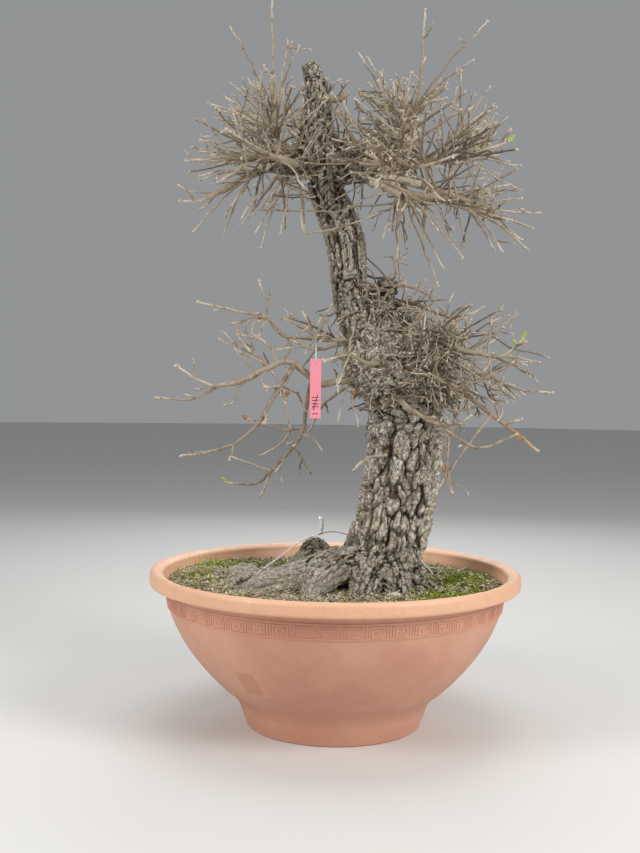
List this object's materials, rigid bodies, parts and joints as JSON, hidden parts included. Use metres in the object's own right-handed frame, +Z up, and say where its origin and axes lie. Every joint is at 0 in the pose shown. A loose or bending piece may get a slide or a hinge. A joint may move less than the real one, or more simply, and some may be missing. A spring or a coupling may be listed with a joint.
{
  "type": "potted bonsai tree",
  "caption": "Leafless corky-barked bonsai with two branch pads, planted in a round plastic bowl pot with mossy soil, a tie wire and a hanging label.",
  "frame": {"origin": "centre of the pot's base, on the surface it stands on", "axes": "+Z up along the pot's axis, -Y towards the tree's front, +X to the right seen from the front"},
  "size_m": [0.6562, 0.6, 1.1915],
  "materials": {
    "pot_plastic": "moulded terracotta-coloured plastic, satin, lighter on the lip",
    "soil": "granular potting soil with dry litter",
    "bark": "deeply furrowed corky bark, grey-beige",
    "moss": "dense yellow-green moss",
    "wire": "galvanised, dull",
    "tag_plastic": "pink label plastic, satin",
    "mesh_plastic": "black plastic mesh",
    "stone": "pale weathered pebble",
    "pale_bark": "weathered bark flake",
    "green_leaf": "fresh leaf, thin",
    "dry_leaf": "dried curled leaf"
  },
  "bodies": {
    "root": {"anchor_wire": "wire", "bark_flake": "pale_bark", "drain_mesh_1": "mesh_plastic", "drain_mesh_2": "mesh_plastic", "drain_mesh_3": "mesh_plastic", "drain_mesh_4": "mesh_plastic", "drain_mesh_5": "mesh_plastic", "drain_mesh_6": "mesh_plastic", "leaf_crown": "green_leaf", "leaf_dry_left": "dry_leaf", "leaf_dry_right": "dry_leaf", "leaf_fallen": "dry_leaf", "leaf_left": "green_leaf", "leaf_right": "green_leaf", "moss_back": "moss", "moss_back_left": "moss", "moss_back_right": "moss", "moss_front_left": "moss", "moss_front_right": "moss", "moss_left": "moss", "moss_right": "moss", "pebble_back": "stone", "pebble_front": "stone", "pebble_front_left": "stone", "pebble_left": "stone", "pebble_right": "stone", "pot": "pot_plastic", "soil": "soil", "tag": "tag_plastic", "tag_wire": "wire", "tree": "bark"}
  },
  "joints": []
}
